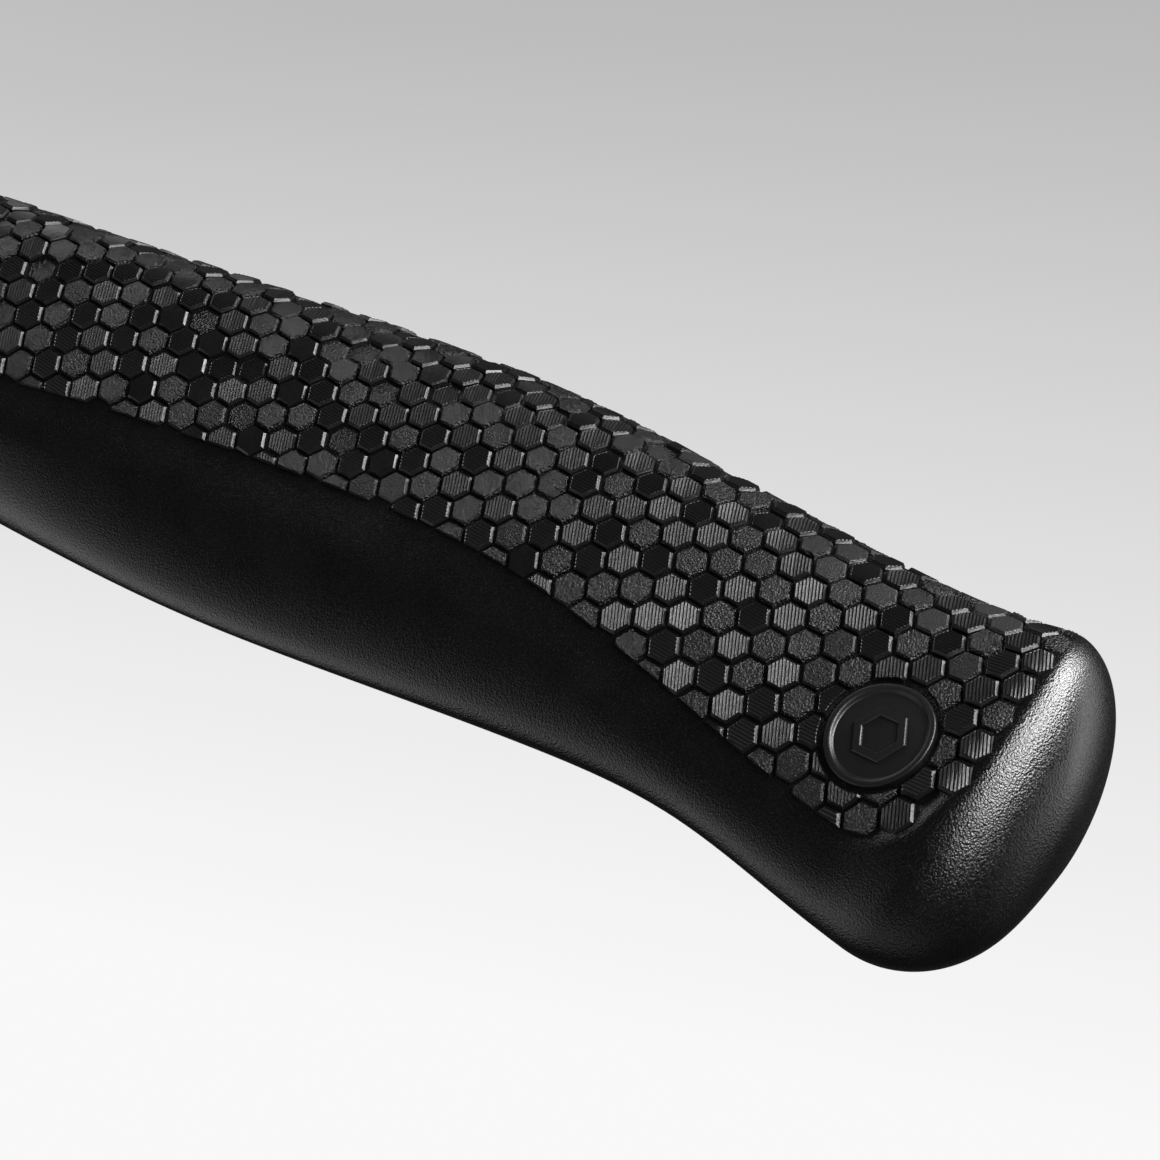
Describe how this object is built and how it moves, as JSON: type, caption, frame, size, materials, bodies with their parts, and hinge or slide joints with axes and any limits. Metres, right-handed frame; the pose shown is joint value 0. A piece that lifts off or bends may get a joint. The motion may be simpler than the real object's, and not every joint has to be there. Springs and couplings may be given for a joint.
{
  "type": "kitchen knife",
  "caption": "Chef's knife with a coated blade, half bolster and a moulded black grip that has raised honeycomb panels and a round badge near the butt.",
  "frame": {"origin": "on the surface the knife lies on, below the middle of its length and height", "axes": "+X along the blade's axis towards the butt, with the tip at -X; +Y from the cutting edge to the spine; +Z out of the left side, which faces up"},
  "size_m": [0.3378, 0.0516, 0.0198],
  "materials": {
    "coated_steel": "dark hard coating over brushed steel, with a bright ground edge",
    "grip_body": "fine leather-like mould grain, satin",
    "grip_panel": "raised hexagonal pads, some ribbed, some grained, satin",
    "badge": "smooth satin with a polished rim"
  },
  "bodies": {
    "root": {"blade": "coated_steel", "handle_body": "grip_body", "grip_panel_left": "grip_panel", "grip_panel_right": "grip_panel", "badge_left": "badge", "badge_right": "badge"}
  },
  "joints": []
}
